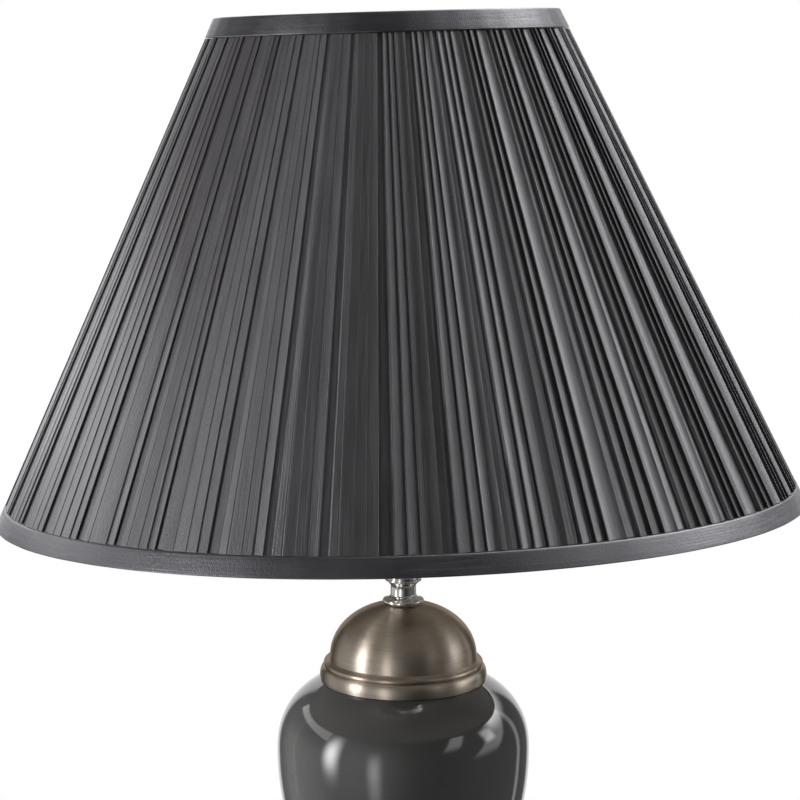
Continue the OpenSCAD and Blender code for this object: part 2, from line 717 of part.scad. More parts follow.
module shade_cover() {
    low = bottom_trim_h + seat;
    high = shade_h - top_trim_h - seat;
    n = len(fold) * pleat_groups;
    m = 2 * pleat_groups;
    half = len(fold) / 2;
    points = concat(fold_ring(low, pleat_depth), fold_ring(high, pleat_depth * top_shrink),
                    back_ring(low), back_ring(high));
    front = [for (i = [0:n - 1]) let (j = (i + 1) % n)
        for (f = [[i, n + i, j], [j, n + i, n + j]]) f];
    back = [for (i = [0:m - 1]) let (j = (i + 1) % m, b = 2 * n)
        for (f = [[b + i, b + j, b + m + i], [b + j, b + m + j, b + m + i]]) f];
    // Each back point is joined to the half group of folds in front of it
    foot = [for (k = [0:m - 1]) let (b = 2 * n, q = (k + 1) % m) concat(
        [for (s = [0:half - 1]) let (i = k * half + s) [b + k, i, (i + 1) % n]],
        [[b + k, ((k + 1) * half) % n, b + q]])];
    head = [for (k = [0:m - 1]) let (b = 2 * n + m, q = (k + 1) % m) concat(
        [for (s = [0:half - 1]) let (i = k * half + s) [b + k, n + (i + 1) % n, n + i]],
        [[b + k, b + q, n + ((k + 1) * half) % n]])];
    color("#4a494e") shade_frame() polyhedron(points, concat(
        front, back, [for (g = foot) for (f = g) f], [for (g = head) for (f = g) f]));
}

module trim(low, high, lip_low, lip_high) {
    inside = cone_r((lip_low + lip_high) / 2) - lip_in;
    color("#3c3a42") shade_frame() translate([0, 0, -gimbal_rise]) rotate_extrude($fn = 128) {
        polygon([
            [cone_r(low) - wall_depth, low], [cone_r(low) + trim_proud, low],
            [cone_r(high) + trim_proud, high], [cone_r(high) - wall_depth, high]
        ]);
        polygon([
            [inside, lip_low], [cone_r(lip_low) - wall_depth + 0.5, lip_low],
            [cone_r(lip_high) - wall_depth + 0.5, lip_high], [inside, lip_high]
        ]);
    }
}

module bottom_trim() {
    trim(0, bottom_trim_h, 0, lip_t);
}

module top_trim() {
    trim(shade_h - top_trim_h, shade_h, shade_h - lip_t, shade_h);
}

felt_pad();
base_shell();
base_weight();
base_washer();
earth_tag();
base_nut();
cord_bush();
foot_gasket();
urn_body();
mouth_gasket();
centring_disc();
dome_cap();
neck();
threaded_rod();
lampholder_base();
switch_block();
switch_bar();
socket_core();
terminal_screws();
centre_contact();
screw_shell();
lampholder_sleeve();
retaining_ring();
bulb_contact();
bulb_insulator();
bulb_cap();
bulb_glass();
fitter_ring();
gimbal_pins();
gimbal_hoop();
shade_spokes();
bottom_ring();
top_ring();
shade_struts();
shade_lining();
shade_cover();
bottom_trim();
top_trim();
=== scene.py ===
"""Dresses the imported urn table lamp: pleated satin shade, turned column and studio.

The lamp stands on the floor at the origin with its front towards -Y. Lengths are metres and angles
radians, but a direction is in degrees: round the lamp from the front, positive towards +X, or up
from the level.
"""

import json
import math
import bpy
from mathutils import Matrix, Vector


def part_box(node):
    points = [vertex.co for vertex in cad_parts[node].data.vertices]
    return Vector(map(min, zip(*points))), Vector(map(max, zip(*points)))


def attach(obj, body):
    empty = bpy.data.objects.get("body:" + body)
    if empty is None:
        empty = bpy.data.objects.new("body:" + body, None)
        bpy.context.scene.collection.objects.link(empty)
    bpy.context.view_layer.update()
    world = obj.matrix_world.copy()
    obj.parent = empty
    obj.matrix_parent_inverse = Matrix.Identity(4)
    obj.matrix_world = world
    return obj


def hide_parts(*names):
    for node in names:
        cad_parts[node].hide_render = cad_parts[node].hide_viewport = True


bl_info = {
    "name": "Urn Table Lamp",
    "version": (1, 0, 0),
    "blender": (4, 5, 0),
    "location": "View3D > Sidebar > Urn Lamp",
    "description": "Pleated shade, turned column, small fittings and studio of an urn table lamp",
    "category": "Object",
}

import bmesh
import bpy
import numpy as np
from bpy.props import FloatProperty, FloatVectorProperty, IntProperty, PointerProperty
from bpy.types import Operator, Panel, PropertyGroup
from mathutils import Matrix

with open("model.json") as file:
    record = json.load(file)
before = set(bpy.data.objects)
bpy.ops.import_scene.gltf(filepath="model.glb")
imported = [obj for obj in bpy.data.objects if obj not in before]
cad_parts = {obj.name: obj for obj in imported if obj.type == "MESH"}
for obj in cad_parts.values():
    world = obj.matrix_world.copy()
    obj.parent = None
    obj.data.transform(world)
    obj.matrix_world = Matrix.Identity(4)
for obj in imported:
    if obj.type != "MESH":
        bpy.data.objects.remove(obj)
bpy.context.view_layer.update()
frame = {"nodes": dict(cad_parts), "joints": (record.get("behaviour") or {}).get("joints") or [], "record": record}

NODES = frame["nodes"]
NODE_SLOTS = {part["node"]: part["material_slot"] for part in frame["record"]["subparts"]}
TILT_JOINT = next(joint for joint in frame["joints"] if joint["name"] == "shade_tilt")
PIVOT = np.array(TILT_JOINT["pos_m"])
TILT_AXIS = TILT_JOINT["axis"]

BASE_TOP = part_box("base_shell")[1].z
CAP_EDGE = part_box("dome_cap")[0].z
CAP_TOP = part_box("dome_cap")[1].z
URN_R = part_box("urn_body")[1].x
HOLDER_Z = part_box("lampholder_base")[0].z

# The urn's shoulder: its widest ring lies this far below the cap's edge, and from there up its
# section is a quarter of a superellipse that would rise this far
SHOULDER_DROP = 0.038
SHOULDER_RISE = 0.0451
SHOULDER_POWER = 2.4

# Directions of the left ends of the pleat groups that face the front
FRONT_GROUPS = [-49.2, -41.2, -33.9, -25.7, -17.8, -10.4, -2.7, 5.4, 13.6, 22.1, 30.8]
# Between these directions the pleats stand as ridges, and elsewhere they lie flat
RIDGED = (-2.7, 150.0)
# Between these directions the ridges are gathered under the top binding, and fade out this fast
GATHERED = (8.0, 75.0)
GATHER_FADE = 0.014
# Widths of the gap and bands A to D, at the bottom and at the top, as shares of a group
RIDGED_WIDTHS = ((0.175, 0.085, 0.235, 0.225, 0.280), (0.15, 0.05, 0.21, 0.20, 0.39))
FLAT_WIDTHS = ((0.155, 0.185, 0.250, 0.215, 0.195), (0.16, 0.14, 0.22, 0.20, 0.28))

# Soft cards of the studio: direction round, width, direction up, height, soft edges of both, slant
# and radiance
CARDS = [
    (-69, 12, 8, 31, 12, 31, 0.0, 12.0),
    (-26, 10, -5, 36, 9, 30, 0.0, 2.6),
    (-36, 54, 0, 60, 54, 44, 0.0, 0.52),
    (-104, 56, -32, 80, 26, 24, 0.0, 0.40),
    (-117, 3, 0, 90, 3, 40, 0.0, 0.25),
    (62, 17, 40, 36, 5, 12, 0.8, 1.6),
    (104, 30, 20, 32, 7, 10, 1.3, 1.3),
    (92, 13, 23, 15, 8, 7, 0.0, 3.6),
    (134, 64, 52, 50, 18, 20, 0.0, 5.6),
    (128, 6, 0, 180, 3, 10, 0.0, 0.8),
]
# Lamps at the left, close enough to light the bottom of the shade more than its top: direction,
# distance, height above the floor, width, height, radiance, and whether gloss shows it
LAMPS = {
    "panel": (-103, 0.38, 0.40, 0.42, 0.16, 1.6, True),
    "key": (-84, 0.62, 0.22, 0.30, 0.30, 8.5, False),
}
# Radiance of the studio at its front, its sides and its top, and where one passes into the next
FRONT_RADIANCE = 0.04
SIDE_RADIANCE = 0.12
TOP_RADIANCE = 0.06
FRONT_TO_SIDE = (25.0, 75.0)
SIDE_TO_TOP = (50.0, 80.0)
# Where the sides pass into the white backdrop, and where gloss stops seeing it on the way up
SIDE_TO_BACK = (151.0, 159.0)
BACKDROP_TOP = (18.0, 26.0)
# How pale the floor is to the camera, and to the light that it throws back on the lamp
FLOOR_SEEN = 0.88
FLOOR_BOUNCE = 0.30
# Distances from the column between which the floor passes into the white background
FLOOR_FADE = (0.12, 0.37)
FLOOR_DROP = 0.0004


class ShadeSizes(PropertyGroup):
    """Sizes of the shade in its own level frame."""

    bottom_d: FloatProperty(name="Bottom diameter", description="Across the folds at the lower edge",
                            default=0.4064, unit="LENGTH")
    top_d: FloatProperty(name="Top diameter", description="Across the folds at the upper edge",
                         default=0.1714, unit="LENGTH")
    height: FloatProperty(name="Height", description="From the lower to the upper edge",
                          default=0.2483, unit="LENGTH")
    gimbal_rise: FloatProperty(name="Gimbal rise", description="Height of the gimbal above the lower edge",
                               default=0.0302, unit="LENGTH")
    lean: FloatProperty(name="Lean", description="How far the shade leans on its gimbal",
                        default=math.radians(4.19), subtype="ANGLE", unit="ROTATION")
    groups: IntProperty(name="Pleat groups", description="Groups of folds round the shade", default=42,
                        subtype="UNSIGNED")
    fold_depth: FloatProperty(name="Fold depth", description="Depth of the folds at the lower edge",
                              default=0.0032, unit="LENGTH")
    fold_edge: FloatProperty(name="Fold edge", description="Radius of a folded edge of the satin",
                             default=0.00036, unit="LENGTH")
    wall: FloatProperty(name="Wall", description="Depth of the folds and of the cloth behind them",
                        default=0.0041, unit="LENGTH")
    bottom_trim: FloatProperty(name="Bottom binding", description="Height of the bottom binding",
                               default=0.0093, unit="LENGTH")
    top_trim: FloatProperty(name="Top binding", description="Height of the top binding",
                            default=0.0097, unit="LENGTH")


class LampColours(PropertyGroup):
    """Colours of the finishes that a user would change."""

    satin: FloatVectorProperty(name="Satin", description="Pleated cloth", default=(0.031, 0.026, 0.026),
                               subtype="COLOR", size=3)
    binding: FloatVectorProperty(name="Binding", description="Cloth bands at both edges",
                                 default=(0.014, 0.013, 0.016), subtype="COLOR", size=3)
    lining: FloatVectorProperty(name="Lining", description="Cloth inside the shade",
                                default=(0.60, 0.57, 0.52), subtype="COLOR", size=3)
    glaze: FloatVectorProperty(name="Glaze", description="Ceramic body", default=(0.066, 0.065, 0.064),
                               subtype="COLOR", size=3)
    nickel: FloatVectorProperty(name="Nickel", description="Spun cap and base",
                                default=(0.60, 0.525, 0.44), subtype="COLOR", size=3)
    chrome: FloatVectorProperty(name="Chrome", description="Turned neck", default=(0.78, 0.77, 0.76),
                                subtype="COLOR", size=3)


class StudioSizes(PropertyGroup):
    """Camera and floor."""

    focal: FloatProperty(name="Focal length", description="On a sensor 36 mm wide, in millimetres",
                         default=133.56, unit="CAMERA")
    pitch: FloatProperty(name="Camera pitch", description="How far the camera looks down",
                         default=math.radians(10.6), subtype="ANGLE", unit="ROTATION")
    camera_place: FloatVectorProperty(name="Camera", description="Place of the camera",
                                      default=(-0.00169, -1.4686, 0.6123), subtype="TRANSLATION", size=3)
    floor_r: FloatProperty(name="Floor", description="Radius of the floor", default=16.0, unit="LENGTH")


class Link:
    """A value on its way through a node tree. Arithmetic on it adds Math nodes."""

    def __init__(self, paint, socket):
        self.paint, self.socket = paint, socket

    def __add__(self, other):
        return self.paint.maths("ADD", self, other)

    def __sub__(self, other):
        return self.paint.maths("SUBTRACT", self, other)

    def __rsub__(self, other):
        return self.paint.maths("SUBTRACT", other, self)

    def __mul__(self, other):
        return self.paint.maths("MULTIPLY", self, other)

    def __truediv__(self, other):
        return self.paint.maths("DIVIDE", self, other)

    def __rtruediv__(self, other):
        return self.paint.maths("DIVIDE", other, self)

    def __neg__(self):
        return self.paint.maths("MULTIPLY", self, -1.0)

    __radd__ = __add__
    __rmul__ = __mul__


class Paint:
    """A node tree in the making."""

    def __init__(self, tree):
        self.tree = tree
        tree.nodes.clear()

    def node(self, kind, settings=None, sockets=None, output=0):
        """Adds a node, sets it up and fills its sockets with values or links.

        Gives one of its outputs, or None for a node that has none.
        """
        made = self.tree.nodes.new(kind)
        for name, value in (settings or {}).items():
            setattr(made, name, value)
        for name, value in (sockets or {}).items():
            if isinstance(value, Link):
                self.tree.links.new(value.socket, made.inputs[name])
            else:
                made.inputs[name].default_value = value
        return Link(self, made.outputs[output]) if made.outputs else None

    def maths(self, operation, *values):
        """A Math node on numbers and links."""
        return self.node("ShaderNodeMath", {"operation": operation}, dict(enumerate(values)))

    def place(self, source="Object"):
        """Coordinates of the piece in metres, or of its cloth with UV."""
        return self.node("ShaderNodeTexCoord", output=source)

    def scaled(self, vector, scale):
        """A vector with each of its numbers times its own scale."""
        return self.node("ShaderNodeVectorMath", {"operation": "MULTIPLY"}, {0: vector, 1: scale})

    def parts(self, vector):
        """The three numbers of a vector."""
        split = self.node("ShaderNodeSeparateXYZ", None, {0: vector})
        return [Link(self, out) for out in split.socket.node.outputs]

    def joined(self, x, y, z):
        """A vector of three numbers."""
        return self.node("ShaderNodeCombineXYZ", None, {0: x, 1: y, 2: z})

    def noise(self, vector, scale=1.0, detail=3.0, rough=0.55):
        """Noise with this many features to the unit of its vector."""
        return self.node("ShaderNodeTexNoise", None,
                         {"Vector": vector, "Scale": scale, "Detail": detail, "Roughness": rough})

    def span(self, value, low, high, new_low, new_high):
        """Maps low..high to new_low..new_high with soft ends."""
        return self.node("ShaderNodeMapRange", {"interpolation_type": "SMOOTHSTEP"},
                         {0: value, 1: low, 2: high, 3: new_low, 4: new_high})

    def blend(self, factor, first, second):
        """Mixes two colours. A Mix node's sockets 6 and 7 and its output 2 are the ones for colours."""
        return self.node("ShaderNodeMix", {"data_type": "RGBA"}, {0: factor, 6: first, 7: second}, 2)

    def bump(self, height, strength, distance):
        """A normal bent by a height."""
        return self.node("ShaderNodeBump", None,
                         {"Height": height, "Strength": strength, "Distance": distance})

    def ray(self, kind):
        """1 for rays of this kind."""
        return self.node("ShaderNodeLightPath", output=kind)


def opaque(colour, factor=1.0):
    """An RGBA colour, made lighter or darker by a factor."""
    return (*[min(1.0, c * factor) for c in colour[:3]], 1.0)


def finish(name, build, **sockets):
    """A material with a Principled shader: build gives the linked sockets, sockets the fixed ones."""
    material = bpy.data.materials.new(name)
    material.use_nodes = True
    paint = Paint(material.node_tree)
    fixed = {key.replace("_", " "): value for key, value in sockets.items()}
    shader = paint.node("ShaderNodeBsdfPrincipled", None, {**fixed, **build(paint)})
    paint.node("ShaderNodeOutputMaterial", None, {"Surface": shader})
    return material


def weave(paint, threads_u, threads_v):
    """Height of a satin weave: threads along the folds, broken up by short floats on a diagonal."""
    u, v, _ = paint.parts(paint.place("UV"))
    warp = paint.maths("SINE", u * (math.tau / threads_u))
    floats = paint.maths("SINE", (u / threads_u + v / threads_v) * math.tau)
    return warp * 0.5 + floats * 0.5


def satin_finish(name, colour, contrast, streaks, clouding):
    """Satin: dark threads with a strong soft gloss, uneven along the threads and in soft clouds.

    The streaks are scales of the cloth's coordinates, in features to the metre across and along.
    """

    def build(paint):
        uv = paint.place("UV")
        slubs = paint.noise(paint.scaled(uv, (*streaks, 1.0)), detail=2.0)
        clouds = paint.noise(paint.scaled(uv, (*clouding, 1.0)), detail=2.0)
        tone = paint.span(slubs * 0.6 + clouds * 0.4, 0.30, 0.70, 0.0, 1.0)
        grain = paint.noise(paint.scaled(uv, (800.0, 600.0, 1.0)), detail=1.0)
        relief = weave(paint, 0.0009, 0.0014) * 0.25 + grain + slubs
        return {
            "Base Color": paint.blend(tone, opaque(colour, 1 - contrast), opaque(colour, 1 + contrast)),
            "Roughness": paint.span(tone, 0.0, 1.0, 0.33, 0.45),
            "Normal": paint.bump(relief, strength=0.60, distance=0.00018),
        }

    return finish(name, build, IOR=1.65, Specular_IOR_Level=1.0, Specular_Tint=(0.93, 0.94, 1.0, 1.0),
                  Anisotropic=0.5, Anisotropic_Rotation=0.25,
                  Sheen_Weight=0.35, Sheen_Roughness=0.35, Sheen_Tint=(0.9, 0.92, 1.0, 1.0))


def lining_finish(colour):
    """Thin plain-weave lining."""

    def build(paint):
        uv = paint.place("UV")
        clouds = paint.noise(paint.scaled(uv, (60.0, 60.0, 1.0)))
        grain = paint.noise(paint.scaled(uv, (1500.0, 1500.0, 1.0)), detail=1.0)
        return {
            "Base Color": paint.blend(clouds, opaque(colour, 0.90), opaque(colour, 1.06)),
            "Normal": paint.bump(weave(paint, 0.0006, 0.0006) + grain, strength=0.25, distance=0.00005),
        }

    return finish("lining_cloth", build, Roughness=0.75, Sheen_Weight=0.15)


def glaze_finish(colour):
    """Deep glossy glaze: a smooth clear skin over a body colour that clouds very slightly."""

    def build(paint):
        place = paint.place()
        clouds = paint.noise(place, 22.0)
        specks = paint.noise(place, 900.0, detail=1.0)
        waves = paint.noise(place, 30.0, detail=1.0)
        tone = clouds * 0.8 + specks * 0.2
        return {
            "Base Color": paint.blend(tone, opaque(colour, 0.82), opaque(colour, 1.18)),
            "Roughness": paint.span(clouds, 0.3, 0.7, 0.055, 0.10),
            "Normal": paint.bump(waves, strength=0.12, distance=0.0006),
        }

    return finish("grey_glaze", build, IOR=1.52, Coat_Weight=0.35, Coat_Roughness=0.03)


def brushed_finish(name, colour, roughness, lines, wear):
    """Metal turned under a brush: fine lines run round the axis, and some are duller and browner."""

    def build(paint):
        place = paint.place()
        x, y, z = paint.parts(place)
        radius = paint.maths("SQRT", x * x + y * y)
        turn = paint.maths("ARCTAN2", x, y)
        ringed = paint.joined(radius * 1900.0, turn * 1.2, z * 1900.0)
        rings = paint.noise(ringed, rough=0.65)
        stains = paint.noise(place, 60.0, detail=4.0)
        tone = paint.span(rings * 0.55 + stains * 0.45, 0.30, 0.68, 0.0, 1.0)
        return {
            "Base Color": paint.blend(tone, opaque(colour, 1 - wear), opaque(colour, 1 + 0.25 * wear)),
            "Roughness": paint.span(rings, 0.25, 0.75, roughness * 0.86, roughness * 1.16),
            "Normal": paint.bump(rings, strength=lines, distance=0.00002),
        }

    return finish(name, build, Metallic=1.0, Specular_Tint=(0.45, 0.40, 0.36, 1.0),
                  Anisotropic=0.88, Anisotropic_Rotation=0.25)


def plain_finish(name, colour, roughness, metallic=0.0, scale=120.0, spread=0.12, bump=0.1, depth=0.0001,
                 **more):
    """A moulded, cast or plated surface: colour and gloss that vary a little, over a fine grain."""

    def build(paint):
        place = paint.place()
        clouds = paint.noise(place, scale, detail=4.0)
        grain = paint.noise(place, scale * 9.0, detail=2.0)
        return {
            "Base Color": paint.blend(clouds, opaque(colour, 1 - spread), opaque(colour, 1 + spread)),
            "Roughness": paint.span(clouds, 0.3, 0.7, roughness * 0.85, roughness * 1.15),
            "Normal": paint.bump(grain, bump, depth),
        }

    return finish(name, build, Metallic=metallic, **more)


def threaded_finish(name, colour, roughness, metallic, pitch, depth):
    """A thread of one start: the height is a triangle wave of z plus the turn round the axis."""

    def build(paint):
        place = paint.place()
        x, y, z = paint.parts(place)
        turn = paint.maths("ARCTAN2", y, x) / math.tau
        ridge = paint.maths("PINGPONG", z / pitch - turn, 0.5)
        clouds = paint.noise(place, 160.0, detail=4.0)
        return {
            "Base Color": paint.blend(clouds, opaque(colour, 0.85), opaque(colour, 1.1)),
            "Roughness": paint.span(clouds, 0.3, 0.7, roughness * 0.85, roughness * 1.2),
            "Normal": paint.bump(ridge, strength=1.0, distance=depth),
        }

    return finish(name, build, Metallic=metallic)


# Slot: finish, colour, roughness, metallic, features to the metre, spread of the tone, strength and
# depth of the bump
PLAIN_FINISHES = {
    "casting": ("cast_iron", (0.10, 0.10, 0.105), 0.62, 0.7, 260.0, 0.3, 0.8, 0.0004),
    "zinc": ("zinc_plate", (0.55, 0.56, 0.57), 0.36, 1.0, 200.0, 0.16, 0.2, 0.00005),
    "contact_brass": ("contact_brass", (0.62, 0.46, 0.22), 0.30, 1.0, 240.0, 0.14, 0.2, 0.00005),
    "black_plastic": ("black_phenolic", (0.020, 0.019, 0.018), 0.28, 0.0, 90.0, 0.2, 0.15, 0.00008),
    "switch_plastic": ("ivory_plastic", (0.70, 0.66, 0.54), 0.34, 0.0, 120.0, 0.05, 0.1, 0.00005),
    "porcelain": ("porcelain_block", (0.78, 0.76, 0.70), 0.30, 0.0, 150.0, 0.05, 0.2, 0.00008),
    "shell_metal": ("plated_steel", (0.62, 0.60, 0.57), 0.30, 1.0, 180.0, 0.12, 0.15, 0.00004),
    "insulator": ("black_glass", (0.015, 0.014, 0.016), 0.16, 0.0, 200.0, 0.1, 0.1, 0.00005),
    "coated_wire": ("white_wire_coat", (0.76, 0.75, 0.72), 0.40, 0.0, 150.0, 0.05, 0.3, 0.0001),
    "opal_glass": ("opal_glass", (0.86, 0.85, 0.82), 0.22, 0.0, 60.0, 0.02, 0.05, 0.00003),
}
# Node: finish, colour, roughness, metallic, pitch of the thread and depth of its bump
THREADED_FINISHES = {
    "threaded_rod": ("rod_thread", (0.58, 0.55, 0.50), 0.34, 1.0, 0.001, 0.0005),
    "lampholder_sleeve": ("sleeve_thread", (0.020, 0.019, 0.018), 0.30, 0.0, 0.0022, 0.0007),
    "screw_shell": ("shell_thread", (0.62, 0.58, 0.50), 0.30, 1.0, 0.0036, 0.0012),
    "bulb_cap": ("cap_thread", (0.70, 0.69, 0.66), 0.28, 1.0, 0.0036, 0.0012),
}


def bezier(a, b, c, d, count):
    """count points of a cubic curve: a, b, c, d weighted by (1-t)^3, 3t(1-t)^2, 3t^2(1-t) and t^3."""
    t = np.linspace(0, 1, count)[:, None]
    a, b, c, d = (np.array(p, float) for p in (a, b, c, d))
    return a * (1 - t) ** 3 + b * 3 * t * (1 - t) ** 2 + c * 3 * t * t * (1 - t) + d * t ** 3


def quarter(r, rise, power, count):
    """A quarter of a superellipse: (r cos^(2/p) t, rise sin^(2/p) t) for t from 0 to a right angle."""
    t = np.linspace(0, math.pi / 2, count)
    return np.stack([r * np.cos(t).clip(0) ** (2 / power), rise * np.sin(t) ** (2 / power)], 1)


def arc(centre, radius, start, stop, count):
    """Points of a circle, centre + radius (cos t, sin t), between two angles in degrees."""
    t = np.radians(np.linspace(start, stop, count))
    return np.array(centre) + radius * np.stack([np.cos(t), np.sin(t)], 1)


def rounded(corners, radius, count=4):
    """A polygon with rounded corners: each becomes a quadratic curve between points radius away from it."""
    corners = np.array(corners, float)
    before, after = np.roll(corners, 1, 0) - corners, np.roll(corners, -1, 0) - corners
    size = np.broadcast_to(np.asarray(radius, float), len(corners))[:, None]
    reach = [np.minimum(size / np.linalg.norm(side, axis=1, keepdims=True), 0.45) * side
             for side in (before, after)]
    t = np.linspace(0, 1, count)[None, :, None]
    bend = (reach[0][:, None] * (1 - t) ** 2 + reach[1][:, None] * t ** 2) + corners[:, None]
    return bend.reshape(-1, 2)


def turned(profile, count):
    """A grid: each point (r, z) of a profile turned round Z, at (r cos a, r sin a, z)."""
    a = np.linspace(0, math.tau, count, endpoint=False)
    r, z = np.asarray(profile).T
    return np.stack([np.outer(r, np.cos(a)), np.outer(r, np.sin(a)), np.outer(z, np.ones(count))], -1)


def cloth_uv(grid):
    """Cloth coordinates of a grid in metres: the lengths of the steps along its middle row, summed up,
    and the mean lengths of the steps from row to row, summed up.
    """
    middle = grid[grid.shape[0] // 2]
    step_u = np.linalg.norm(np.roll(middle, -1, 0) - middle, axis=1)
    u = np.concatenate([[0], np.cumsum(step_u)])
    step_v = np.linalg.norm(np.diff(grid, axis=0), axis=2).mean(1)
    v = np.concatenate([[0], np.cumsum(step_v)])
    return u, np.append(v, v[-1] + step_v[-1])


def grid_mesh(name, grid, rows_close=True, sharp=35.0):
    """Quads between neighbouring points of a grid. The last column meets the first, and so does the
    last row if rows_close.
    """
    rows, columns = grid.shape[:2]
    index = np.arange(rows * columns).reshape(rows, columns)
    right = np.roll(index, -1, 1)
    faces = np.stack([index, right, np.roll(right, -1, 0), np.roll(index, -1, 0)], -1)
    u, v = cloth_uv(grid)
    i, j = np.meshgrid(np.arange(columns), np.arange(rows))
    corners = np.stack([np.stack([u[i], v[j]], -1), np.stack([u[i + 1], v[j]], -1),
                        np.stack([u[i + 1], v[j + 1]], -1), np.stack([u[i], v[j + 1]], -1)], 2)
    if not rows_close:
        faces, corners = faces[:-1], corners[:-1]
    mesh = bpy.data.meshes.new(name)
    mesh.from_pydata(grid.reshape(-1, 3).tolist(), [], faces.reshape(-1, 4).tolist())
    mesh.uv_layers.new(name="cloth").data.foreach_set("uv", corners.ravel())
    tidy = bmesh.new()
    tidy.from_mesh(mesh)
    bmesh.ops.remove_doubles(tidy, verts=tidy.verts, dist=1e-7)
    tidy.to_mesh(mesh)
    tidy.free()
    mesh.polygons.foreach_set("use_smooth", np.ones(len(mesh.polygons), bool))
    mesh.set_sharp_from_angle(angle=math.radians(sharp))
    mesh.update()
    return mesh


def piece(name, mesh, material, body, *nodes):
    """Links a mesh as a piece with this material on this body, and hides the CAD nodes that it stands for."""
    made = bpy.data.objects.new(name, mesh)
    bpy.context.scene.collection.objects.link(made)
    mesh.materials.append(material)
    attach(made, body)
    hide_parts(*nodes)
    return made


def cone_r(sizes, h):
    """Radius of the shade's outside: a straight line in height from the lower to the upper edge."""
    return sizes.bottom_d / 2 - (sizes.bottom_d - sizes.top_d) / 2 / sizes.height * h


def on_gimbal(sizes, grid):
    """Points of a level shade, with heights above its lower edge, leant about the gimbal's axis: the
    pivot plus the turned offset from the pivot.
    """
    turn = np.array(Matrix.Rotation(-sizes.lean, 3, TILT_AXIS))
    return (grid - [0, 0, sizes.gimbal_rise]) @ turn.T + PIVOT


def shade_band(sizes, section, count):
    """A section of (offset, height) turned round the shade, at a radius of cone plus offset."""
    section = np.asarray(section)
    profile = np.stack([cone_r(sizes, section[:, 1]) + section[:, 0], section[:, 1]], 1)
    return turned(profile, count)


def group_edges(groups):
    """Angles about Z where the pleat groups start, and where the last one ends.

    The front ones are listed. The rest share the way that is left in equal steps, each moved by a
    small sine of its number.
    """
    front = np.radians(FRONT_GROUPS) - math.pi / 2
    rest = groups - len(front) + 1
    steps = np.linspace(0, 1, rest + 1)[1:]
    wander = 0.12 / groups * np.sin(2.7 * np.arange(rest)) * (steps < 1)
    behind = front[-1] + (steps + wander) * (math.tau + front[0] - front[-1])
    return np.concatenate([front, behind])


